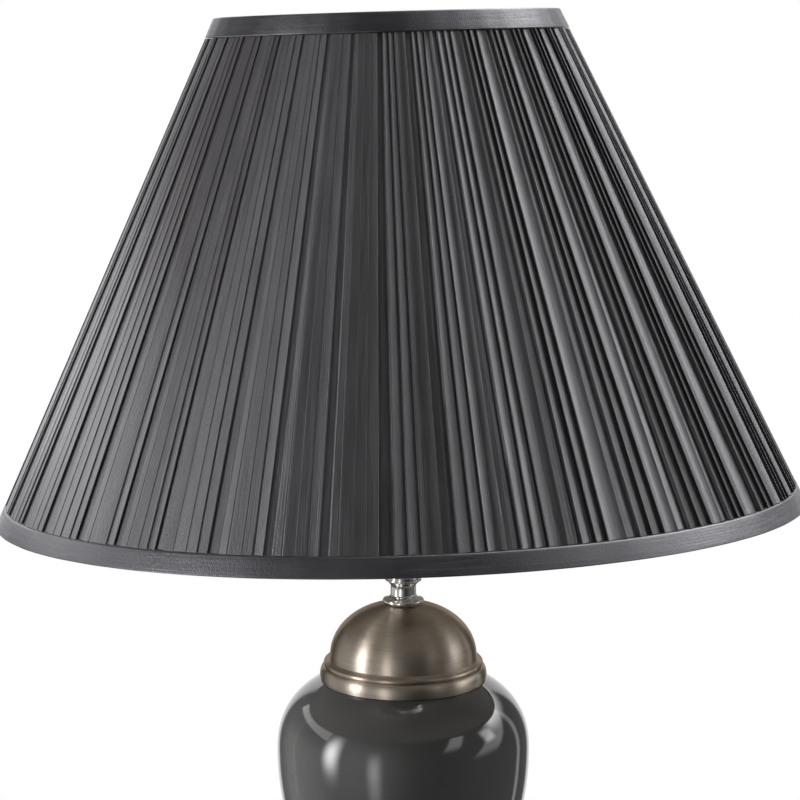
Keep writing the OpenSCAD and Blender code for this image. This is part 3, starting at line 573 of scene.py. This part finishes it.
def pleat_grid(sizes, rows):
    """Points of the pleated satin: rows up the shade, columns along the folded section.

    The section of a group is a line of (t, d): t runs from 0 to 1 across the group and d is the depth
    from 0, outermost, to 1. A group is a gap and four bands, A to D. Outside RIDGED the bands lie flat
    and each ends in a folded edge over the next one. Inside it A stays in the gap and the others stand
    as ridges: each starts with a folded edge and falls to the right into a valley, but D curls out
    again over the next gap. Widths run straight from the bottom's to the top's, and each group has its
    own small errors. A point's radius is cone - depth * d, and its angle is start + t * width of its
    group. The share q of the height goes by half of 1 - cos, so the rows lie closer near both ends.
    """
    chance = np.random.default_rng(7)
    groups = sizes.groups
    clear = 0.0003
    low = sizes.bottom_trim + clear
    high = sizes.height - sizes.top_trim - clear
    q = (0.5 - 0.5 * np.cos(np.linspace(0, math.pi, rows)))[:, None, None]
    h = low + (high - low) * q
    edges = group_edges(groups)
    start, width = edges[:-1, None], np.diff(edges)[:, None]
    direction = (np.degrees(start + width / 2) + 90 + 180) % 360 - 180
    ridged = (direction > RIDGED[0]) & (direction < RIDGED[1])

    def errors(size, count=1):
        """A factor for each group: 1 plus size times a normal draw held within 2."""
        return 1 + size * chance.standard_normal((groups, count)).clip(-2, 2)

    low_widths = np.where(ridged, RIDGED_WIDTHS[0], FLAT_WIDTHS[0]) * errors(0.08, 5)
    high_widths = np.where(ridged, RIDGED_WIDTHS[1], FLAT_WIDTHS[1]) * errors(0.12, 5)
    marks = [np.cumsum(w / w.sum(1, keepdims=True), 1) for w in (low_widths, high_widths)]
    marks = marks[0] * (1 - q) + marks[1] * q
    # The bands waver a little on the way up, each in a sine of the height with a phase of its own
    waver, wave = 0.006, 0.035
    marks[..., :4] += waver * np.sin(h / wave + chance.uniform(0, math.tau, (groups, 4)))
    gathered = ridged * (direction > GATHERED[0]) * (direction < GATHERED[1])
    gather = gathered * chance.uniform(0.4, 1.0, (groups, 1)) * np.exp(-(high - h) / GATHER_FADE)
    marks[..., 3:4] += 0.10 * gather
    t0, (t1, t2, t3, t4, t5) = 0 * marks[..., :1], np.split(marks, 5, -1)
    depth = np.broadcast_to(sizes.fold_depth * (1 - 0.3 * q), t0.shape)
    # A folded edge is nose across in t and lip deep in d, and a band reaches lap under the next one
    nose = sizes.fold_edge / (cone_r(sizes, h) * width)
    lip = sizes.fold_edge / depth
    lap = 2.4 * nose

    def run(t_from, t_to, f, d):
        """Points at fractions f between two marks, at depths d."""
        t = t_from + (t_to - t_from) * np.array(f)
        return np.stack([t, np.broadcast_to(d, t.shape)], -1)

    def edge(t, d, side):
        """The folded edge of a band on its left (-1) or right (1) side: half an ellipse, one nose across
        and one lip deep each way from its centre, and one point of the underside.
        """
        turn = np.radians([-90, -45, 0, 45, 80])
        round_t = t - side * nose * (1 - np.cos(turn))
        round_d = d + lip * (1 - np.sin(turn))
        under = np.stack(np.broadcast_arrays(t - side * 0.85 * lap, d + 2 * lip + 0.02), -1)
        points = np.concatenate([under, np.stack([round_t, round_d], -1)], 2)
        return points[:, :, ::-1] if side > 0 else points

    def ridge(t_from, t_to, top, floor):
        """A folded edge, and a fall to the valley floor: 1 - (1 - f / foot)^1.4 of the way down."""
        f = np.array([0.04, 0.09, 0.16, 0.24, 0.33, 0.43, 0.54, 0.66, 0.76, 1.0])
        foot = 0.76
        fall = 1 - (1 - f / foot).clip(0) ** 1.4
        return [edge(t_from, top, -1), run(t_from + nose, t_to + lap, f, top + (floor - top) * fall)]

    def flap(t_from, t_to, below, middle, top, power):
        """A band that comes out from below and goes from middle to its edge at top by f^power."""
        f = np.array([0.0, 0.04, 0.09, 0.22, 0.38, 0.54, 0.68, 0.80, 0.91, 1.0])
        covered = 0.09
        rise = middle + (top - middle) * f ** power
        d = rise + (below - middle) * (1 - f / covered).clip(0)
        return [run(t_from - 0.5 * lap, t_to - nose, f, d), edge(t_to, top, 1)]

    crest = 0.06 * errors(0.6)
    in_gap = [0.62, 0.74, 0.65, 0.71, 0.80, 0.76]
    standing = [run(t0 - 0.8 * lap, t2, [0.0, 0.2, 0.45, 0.7, 0.9, 1.0], in_gap),
                *ridge(t2, t3, 0.5 * crest, 0.74 * errors(0.06)),
                *ridge(t3, t4, crest, 0.70 * errors(0.06)),
                edge(t4, crest, -1)]
    f = np.array([0.06, 0.15, 0.27, 0.40, 0.53, 0.66, 0.78, 0.90, 1.0])
    sag = 0.30 * errors(0.25) + 0.45 * gather * (1 - f)
    curl = np.stack(np.broadcast_arrays(t5 + nose * [0.25, 0.0, -1.2], lip * [0.5, 1.3, 2.2]), -1)
    standing += [run(t4 + nose, t5, f, crest * (1 - f) + sag * 4 * f * (1 - f)), curl]
    lying = [run(t0 - 0.8 * lap, t1, [0.0, 0.2, 0.6, 0.94], [0.36, 0.43, 0.44, 0.46]),
             *flap(t1 + 0.5 * lap, t2, 0.30, 0.27 * errors(0.1), 0.10, 1.0),
             *flap(t2, t3, 0.22, 0.14 * errors(0.2), 0.07 * errors(0.3), 2.4),
             *flap(t3, t4, 0.20, 0.14 * errors(0.2), 0.07 * errors(0.3), 2.4),
             *flap(t4, t5, 0.26, 0.26 * errors(0.1), 0.0, 1.6)]
    blocks = []
    bounds = [0, *(np.flatnonzero(np.diff(ridged[:, 0])) + 1), groups]
    for first, last in zip(bounds[:-1], bounds[1:]):
        points = np.concatenate(standing if ridged[first, 0] else lying, 2)[:, first:last]
        angle = start[first:last] + width[first:last] * points[..., 0]
        radius = cone_r(sizes, h) - depth[:, first:last] * points[..., 1].clip(0, 1)
        heights = np.broadcast_to(h, angle.shape)
        block = np.stack([radius * np.cos(angle), radius * np.sin(angle), heights], -1)
        blocks.append(block.reshape(rows, -1, 3))
    return np.concatenate(blocks, 1)


class LAMP_OT_pleated_cover(Operator):
    """Builds the pleated satin and the smooth cloth behind it as one closed sheet"""

    bl_idname = "urn_lamp.pleated_cover"
    bl_label = "Pleated Cover"

    def execute(self, context):
        sizes = context.scene.shade_sizes
        front = pleat_grid(sizes, rows=34)
        columns = front.shape[1]
        # The cloth behind is two rings, wall deep, with as many points as the folds
        start = math.atan2(front[0, 0, 1], front[0, 0, 0])
        a = start + np.linspace(0, math.tau, columns, endpoint=False)
        heights = front[[-1, 0], 0, 2]
        r = cone_r(sizes, heights) - sizes.wall
        back = np.stack([np.outer(r, np.cos(a)), np.outer(r, np.sin(a)),
                         np.outer(heights, np.ones(columns))], -1)
        grid = on_gimbal(sizes, np.concatenate([front, back]))
        mesh = grid_mesh("pleated_cover", grid, sharp=50.0)
        material = satin_finish("pleated_satin", context.scene.lamp_colours.satin, contrast=0.22,
                                streaks=(900.0, 40.0), clouding=(40.0, 14.0))
        cover = piece("pleated_cover", mesh, material, "shade", "shade_cover")
        cuts = np.linalg.norm(np.roll(front, -1, 1) - front, axis=2).sum(1)
        slant = float(np.linalg.norm(front[-1, 0] - front[0, 0]))
        return {"FINISHED"}


class LAMP_OT_bindings(Operator):
    """Builds the cloth bands bound round the two wire rings"""

    bl_idname = "urn_lamp.bindings"
    bl_label = "Bindings"

    def execute(self, context):
        sizes = context.scene.shade_sizes
        material = satin_finish("binding_satin", context.scene.lamp_colours.binding, contrast=0.40,
                                streaks=(35.0, 700.0), clouding=(60.0, 60.0))
        top = sizes.height
        under_top, over_bottom = top - sizes.top_trim, sizes.bottom_trim
        proud, back, inner, lip = 0.0003, -sizes.wall, -0.0087, 0.001
        bands = {
            "bottom_binding": ("bottom_trim", "bottom_ring",
                               [(inner, 0.0), (proud, 0.0), (proud, over_bottom), (back, over_bottom),
                                (back, lip), (inner, lip)]),
            "top_binding": ("top_trim", "top_ring",
                            [(back, under_top), (proud, under_top), (proud, top), (inner, top),
                             (inner, top - lip), (back, top - lip)]),
        }
        columns = 720
        a = np.linspace(0, math.tau, columns, endpoint=False)[None]
        for name, (node, ring, corners) in bands.items():
            bend = rounded(corners, [0.0004, 0.0007, 0.0007, 0.0004, 0.0003, 0.0004], count=6)
            section = np.concatenate([np.linspace(p, q, 3, endpoint=False)
                                      for p, q in zip(bend, np.roll(bend, -1, 0))])
            grid = shade_band(sizes, section, columns)
            # The outside is drawn in a little, and goes in and out by the sum of two sines of the angle
            drawn_in = 0.00018
            outside = (section[:, 0] > -0.0005)[:, None]
            ripple = 0.00006 * (np.sin(19 * a + 90 * section[:, 1:]) + np.sin(43 * a + 1.7))
            reach = np.hypot(grid[..., 0], grid[..., 1])
            grid[..., :2] *= (1 + outside * (ripple - drawn_in) / reach)[..., None]
            mesh = grid_mesh(name, on_gimbal(sizes, grid), sharp=60.0)
            made = piece(name, mesh, material, "shade", node)
            around = math.tau * float(cone_r(sizes, (corners[1][1] + corners[2][1]) / 2))
            wide = float(np.linalg.norm(np.roll(bend, -1, 0) - bend, axis=1).sum()) / 2
        return {"FINISHED"}


class LAMP_OT_lining(Operator):
    """Builds the smooth cloth cone inside the frame wires"""

    bl_idname = "urn_lamp.lining"
    bl_label = "Lining"

    def execute(self, context):
        sizes = context.scene.shade_sizes
        outer, thick, low, rows = -0.00808, 0.0006, 0.0055, 24
        high = sizes.height - low
        # Two straight lines along the cone, thick apart, up the one and down the other
        h = np.linspace(low, high, rows)
        section = np.concatenate([np.stack([np.full(rows, outer), h], 1),
                                  np.stack([np.full(rows, outer - thick), h[::-1]], 1)])
        grid = shade_band(sizes, section, count=360)
        mesh = grid_mesh("lining_cone", on_gimbal(sizes, grid), sharp=50.0)
        cloth = lining_finish(context.scene.lamp_colours.lining)
        made = piece("lining_cone", mesh, cloth, "shade", "shade_lining")
        reach = cone_r(sizes, np.array([low, high])) + outer
        slant = math.hypot(reach[0] - reach[1], high - low)
        area = math.pi * (reach[0] + reach[1]) * slant
        math.tau * reach[0]
        return {"FINISHED"}


class LAMP_OT_glazed_urn(Operator):
    """Builds the hollow ceramic body"""

    bl_idname = "urn_lamp.glazed_urn"
    bl_label = "Glazed Urn"

    def execute(self, context):
        seal = 0.0011
        foot_z, foot_r, stem_r = BASE_TOP + seal, 0.038, 0.034
        stem_z = foot_z + 0.009
        wide_z, mouth_z, mouth_r, wall = CAP_EDGE - SHOULDER_DROP, CAP_EDGE + 0.004, 0.028, 0.005
        belly = 0.133

        def side(inset, count):
            """The wall's side: a cubic curve up to the widest ring, of radius of curvature belly there, and
            the shoulder's quarter of a superellipse.
            """
            pull = stem_r - inset + 0.002
            reach = math.sqrt(2 / 3 * (URN_R - inset - pull) * belly)
            lower = bezier((stem_r - inset, stem_z), (pull, stem_z + 0.024),
                           (URN_R - inset, wide_z - reach), (URN_R - inset, wide_z), count)
            upper = quarter(URN_R - inset, SHOULDER_RISE - inset, SHOULDER_POWER, 3 * count)[1:]
            return np.concatenate([lower, upper + [0, wide_z]])

        outside = side(0, 60)
        outside = outside[outside[:, 1] < mouth_z - 0.0008]
        inside = side(wall, 24)
        inside = inside[inside[:, 1] < mouth_z - wall - 0.001]
        foot = bezier((foot_r - 0.0008, foot_z), (foot_r + 0.0006, foot_z),
                      (foot_r + 0.0003, foot_z + 0.0042), (stem_r + 0.0012, foot_z + 0.0056), count=14)
        profile = np.concatenate([
            [(0.010, foot_z)], foot, outside,
            [(outside[-1, 0] - 0.0006, mouth_z - 0.0001), (outside[-1, 0] - 0.0016, mouth_z)],
            [(mouth_r, mouth_z), (mouth_r, mouth_z - wall + 0.0006)], inside[::-1],
            [(stem_r - wall, stem_z - 0.003), (0.010, foot_z + wall)]])
        mesh = grid_mesh("glazed_urn", turned(profile, count=256), sharp=40.0)
        piece("glazed_urn", mesh, glaze_finish(context.scene.lamp_colours.glaze), "stand", "urn_body")
        return {"FINISHED"}


class LAMP_OT_spun_dome(Operator):
    """Builds the spun cap with its two beads"""

    bl_idname = "urn_lamp.spun_dome"
    bl_label = "Spun Dome"

    def execute(self, context):
        low, top, cap_r, dome_r, sheet = CAP_EDGE, CAP_TOP, 0.0428, 0.0388, 0.0012
        groove, edge = low + 0.0072, low + 0.0099
        wide_z = edge + 0.0011
        band = bezier((cap_r - 0.0005, low), (cap_r + 0.00025, low + 0.0026),
                      (cap_r - 0.0002, groove - 0.0009), (cap_r - 0.0023, groove), count=18)
        bead = arc((dome_r + 0.00075, (groove + edge) / 2), 0.00119, -75, 75, count=14)

        def crown(inset, count):
            """The dome: a quarter of a superellipse, cut off flat at the top where the neck stands."""
            curve = quarter(dome_r - 0.0012 - inset, top + 0.0006 - wide_z - inset, 2.12, count)
            curve = curve[curve[:, 0] > 0.0087]
            return np.stack([curve[:, 0], np.minimum(curve[:, 1] + wide_z, top - inset)], 1)

        foot_r = cap_r - 0.0024
        # The inner foot ends this little above the urn's shoulder, the superellipse at the foot's radius
        gap = 0.0003
        shoulder = SHOULDER_RISE * (1 - (foot_r / URN_R) ** SHOULDER_POWER) ** (1 / SHOULDER_POWER)
        seat_z = low - SHOULDER_DROP + shoulder + gap
        profile = np.concatenate([
            band, bead, [(dome_r, edge)], crown(0, 70), [(0.0052, top), (0.0052, top - sheet)],
            crown(sheet, 30)[::-1],
            [(dome_r - sheet, edge - 0.0006), (cap_r - 0.0039, groove - 0.0016),
             (cap_r - 0.0022, low + 0.002), (foot_r, seat_z)]])
        mesh = grid_mesh("spun_dome", turned(profile, count=256), sharp=32.0)
        material = brushed_finish("brushed_nickel", context.scene.lamp_colours.nickel, roughness=0.38,
                                  lines=0.9, wear=0.24)
        piece("spun_dome", mesh, material, "stand", "dome_cap")
        return {"FINISHED"}


class LAMP_OT_turned_neck(Operator):
    """Builds the polished neck between the dome and the lampholder"""

    bl_idname = "urn_lamp.turned_neck"
    bl_label = "Turned Neck"

    def execute(self, context):
        z, top = CAP_TOP + 0.0001, HOLDER_Z - 0.0001
        flange, waist, lip, cup = 0.0107, 0.0066, 0.0094, 0.015
        bead = arc((flange - 0.0016, z + 0.0016), 0.0016, -90, 60, count=20)
        cove = bezier((flange - 0.0017, z + 0.0032), (waist + 0.001, z + 0.0035), (waist, z + 0.0042),
                      (waist, z + 0.0052), count=14)
        flare = bezier((waist, z + 0.0084), (waist, z + 0.0100), (lip - 0.001, z + 0.0112),
                       (lip - 0.0001, z + 0.0122), count=14)
        rim = bezier((lip - 0.0001, z + 0.0122), (lip + 0.0001, z + 0.0125), (lip, z + 0.0131),
                     (lip - 0.001, z + 0.0137), count=8)[1:-1]
        bowl = bezier((lip - 0.001, z + 0.0137), (lip + 0.0006, z + 0.0148), (cup - 0.0014, top - 0.004),
                      (cup, top - 0.0016), count=16)
        profile = np.concatenate([[(0.0052, z)], bead, cove, flare, rim, bowl,
                                  [(cup, top - 0.0002), (cup - 0.0002, top), (0.0052, top)]])
        mesh = grid_mesh("turned_neck", turned(profile, count=128), sharp=32.0)
        material = plain_finish("bright_chrome", context.scene.lamp_colours.chrome, roughness=0.09,
                                metallic=1.0, spread=0.04, bump=0.05, depth=0.00002)
        piece("turned_neck", mesh, material, "stand", "neck")
        return {"FINISHED"}


class LAMP_OT_soft_rings(Operator):
    """Builds the two rubber rings that the ceramic sits between, and the felt under the base"""

    bl_idname = "urn_lamp.soft_rings"
    bl_label = "Soft Rings and Felt"

    def execute(self, context):
        rubber = plain_finish("soft_rubber", (0.022, 0.022, 0.022), roughness=0.6, bump=0.3)
        for name, node, inner, outer in (("foot_seal", "foot_gasket", 0.026, 0.037),
                                         ("mouth_seal", "mouth_gasket", 0.0285, 0.032)):
            low, high = (corner.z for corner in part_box(node))
            profile = rounded([(inner, low), (outer, low), (outer, high), (inner, high)], 0.0004, count=5)
            piece(name, grid_mesh(name, turned(profile, count=128), sharp=60.0), rubber, "stand", node)
        felt_r, _, felt_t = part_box("felt_pad")[1]
        rim = rounded([(felt_r * 0.5, 0), (felt_r, 0), (felt_r, felt_t), (felt_r * 0.5, felt_t)],
                      [0.0, 0.0005, 0.0005, 0.0], count=5)[4:-4]
        profile = np.concatenate([[(0, 0)], rim, [(0, felt_t)]])
        mesh = grid_mesh("felt_disc", turned(profile, count=180), rows_close=False, sharp=60.0)
        felt = plain_finish("dark_felt", (0.045, 0.048, 0.045), roughness=0.95, scale=300.0, spread=0.35,
                            bump=0.8, depth=0.0003, Sheen_Weight=0.4)
        made = piece("felt_disc", mesh, felt, "stand", "felt_pad")
        return {"FINISHED"}


class LAMP_OT_fittings(Operator):
    """Gives the carried-over CAD nodes their finishes"""

    bl_idname = "urn_lamp.fittings"
    bl_label = "Fittings"

    def execute(self, context):
        by_node = {node: threaded_finish(*row) for node, row in THREADED_FINISHES.items()}
        by_slot = {slot: plain_finish(*row) for slot, row in PLAIN_FINISHES.items()}
        by_slot["spun_metal"] = brushed_finish("spun_nickel", context.scene.lamp_colours.nickel,
                                               roughness=0.30, lines=0.3, wear=0.2)
        # A hidden solid is one that a piece of this scene stands for
        for name, solid in NODES.items():
            if not solid.hide_render:
                for slot in solid.material_slots:
                    slot.material = by_node.get(name) or by_slot[NODE_SLOTS[name]]
        return {"FINISHED"}


class LAMP_OT_studio(Operator):
    """Builds the floor, the studio light all round and the camera"""

    bl_idname = "urn_lamp.studio"
    bl_label = "Studio"

    def floor(self, sizes):
        """A disc that takes the lamp's shadow near it and passes into the white background further out.

        What the camera sees of it is paler than what it throws back on the lamp.
        """
        profile = np.array([(0, 0), (0.2, 0), (0.5, 0), (sizes.floor_r, 0)]) - [0, FLOOR_DROP]
        mesh = grid_mesh("floor", turned(profile[::-1], count=96), rows_close=False)
        made = bpy.data.objects.new("floor", mesh)
        bpy.context.scene.collection.objects.link(made)
        made.visible_glossy = False
        material = bpy.data.materials.new("pale_floor")
        material.use_nodes = True
        paint = Paint(material.node_tree)
        x, y, _ = paint.parts(paint.place())
        away = paint.span(paint.maths("SQRT", x * x + y * y), *FLOOR_FADE, 0.0, 1.0)
        seen = self.seen(paint)
        tone = seen * (FLOOR_SEEN - FLOOR_BOUNCE) + FLOOR_BOUNCE
        pale = paint.node("ShaderNodeBsdfDiffuse", None, {"Color": paint.joined(tone, tone, tone)})
        white = paint.node("ShaderNodeEmission", None, {"Strength": 1.0})
        both = paint.node("ShaderNodeMixShader", None, {0: away * seen, 1: pale, 2: white})
        paint.node("ShaderNodeOutputMaterial", None, {"Surface": both})
        mesh.materials.append(material)

    def seen(self, paint):
        """1 for rays that show the background: from the camera or through glass."""
        return paint.ray("Is Camera Ray") + paint.ray("Is Transmission Ray")

    def lamps(self, scene):
        """Soft lamps that face the column. The power of one is radiance times pi times its area."""
        for name, (direction, distance, up, wide, high, radiance, glossy) in LAMPS.items():
            light = bpy.data.lights.new(name, "AREA")
            light.shape = "RECTANGLE"
            light.size, light.size_y = wide, high
            light.energy = radiance * math.pi * wide * high
            turn = math.radians(direction)
            lamp = bpy.data.objects.new(name, light)
            lamp.location = (distance * math.sin(turn), -distance * math.cos(turn), up)
            lamp.rotation_euler = (math.pi / 2, 0.0, turn)
            lamp.visible_camera = False
            lamp.visible_glossy = glossy
            scene.collection.objects.link(lamp)

    def light(self, world):
        """White behind the lamp, dark towards the camera, with soft cards to the sides.

        A card's share is 1 inside its width and height and falls softly to 0 across its edge, and its
        middle moves round by its slant for each degree up. Rays from the camera and through glass see
        plain white. Reflections see it where it stands behind the lamp, and elsewhere the same studio
        that lights the lamp.
        """
        world.use_nodes = True
        paint = Paint(world.node_tree)
        x, y, z = paint.parts(paint.place("Generated"))
        degree = 180 / math.pi
        heading = paint.maths("ARCTAN2", x, -y) * degree
        upward = paint.maths("ARCSINE", z) * degree
        off_front = paint.maths("ABSOLUTE", heading)
        behind = paint.span(off_front, *SIDE_TO_BACK, 0.0, 1.0)
        radiance = paint.span(off_front, *FRONT_TO_SIDE, FRONT_RADIANCE, SIDE_RADIANCE)
        radiance = radiance + behind * (1.0 - SIDE_RADIANCE)
        radiance = radiance + paint.span(upward, *SIDE_TO_TOP, 0.0, TOP_RADIANCE)
        for around, width, up, height, soft, soft_up, slant, strength in CARDS:
            rise = upward - up
            across = paint.maths("ABSOLUTE", heading - around - rise * slant)
            along = paint.maths("ABSOLUTE", rise)
            share = paint.span(across, (width - soft) / 2, (width + soft) / 2, 1.0, 0.0)
            share = share * paint.span(along, (height - soft_up) / 2, (height + soft_up) / 2, 1.0, 0.0)
            radiance = radiance + share * strength
        pure = (1.0, 1.0, 1.0, 1.0)
        studio = paint.node("ShaderNodeBackground", None, {"Color": pure, "Strength": radiance})
        white = paint.node("ShaderNodeBackground", None, {"Color": pure, "Strength": 1.0})
        backdrop = behind * paint.span(upward, *BACKDROP_TOP, 1.0, 0.0)
        shown = self.seen(paint) + paint.ray("Is Glossy Ray") * backdrop
        both = paint.node("ShaderNodeMixShader", None, {0: shown, 1: studio, 2: white})
        paint.node("ShaderNodeOutputWorld", None, {"Surface": both})

    def execute(self, context):
        scene = context.scene
        sizes = scene.studio_sizes
        scene.view_settings.view_transform = "Standard"
        camera = bpy.data.cameras.new("camera")
        camera.lens, camera.sensor_width = sizes.focal, 36.0
        camera.clip_start, camera.clip_end = 0.05, 60.0
        eye = bpy.data.objects.new("camera", camera)
        eye.location = sizes.camera_place
        eye.rotation_euler = (math.pi / 2 - sizes.pitch, 0.0, 0.0)
        scene.collection.objects.link(eye)
        scene.camera = eye
        self.floor(sizes)
        self.lamps(scene)
        scene.world = bpy.data.worlds.new("studio")
        self.light(scene.world)
        return {"FINISHED"}


OPERATORS = [LAMP_OT_studio, LAMP_OT_pleated_cover, LAMP_OT_bindings, LAMP_OT_lining, LAMP_OT_glazed_urn,
             LAMP_OT_spun_dome, LAMP_OT_turned_neck, LAMP_OT_soft_rings, LAMP_OT_fittings]


class LAMP_PT_maker(Panel):
    """Lists the pieces of the lamp"""

    bl_idname = "LAMP_PT_maker"
    bl_label = "Urn Lamp"
    bl_space_type = "VIEW_3D"
    bl_region_type = "UI"
    bl_category = "Urn Lamp"

    def draw(self, context):
        for operator in OPERATORS:
            self.layout.operator(operator.bl_idname)


CLASSES = [ShadeSizes, LampColours, StudioSizes, *OPERATORS, LAMP_PT_maker]


def register():
    for made in CLASSES:
        bpy.utils.register_class(made)
    bpy.types.Scene.shade_sizes = PointerProperty(type=ShadeSizes)
    bpy.types.Scene.lamp_colours = PointerProperty(type=LampColours)
    bpy.types.Scene.studio_sizes = PointerProperty(type=StudioSizes)


def unregister():
    del bpy.types.Scene.studio_sizes
    del bpy.types.Scene.lamp_colours
    del bpy.types.Scene.shade_sizes
    for made in reversed(CLASSES):
        bpy.utils.unregister_class(made)


def main():
    register()
    bpy.ops.urn_lamp.studio()
    bpy.ops.urn_lamp.pleated_cover()
    bpy.ops.urn_lamp.bindings()
    bpy.ops.urn_lamp.lining()
    bpy.ops.urn_lamp.glazed_urn()
    bpy.ops.urn_lamp.spun_dome()
    bpy.ops.urn_lamp.turned_neck()
    bpy.ops.urn_lamp.soft_rings()
    bpy.ops.urn_lamp.fittings()


if __name__ == "__main__":
    main()
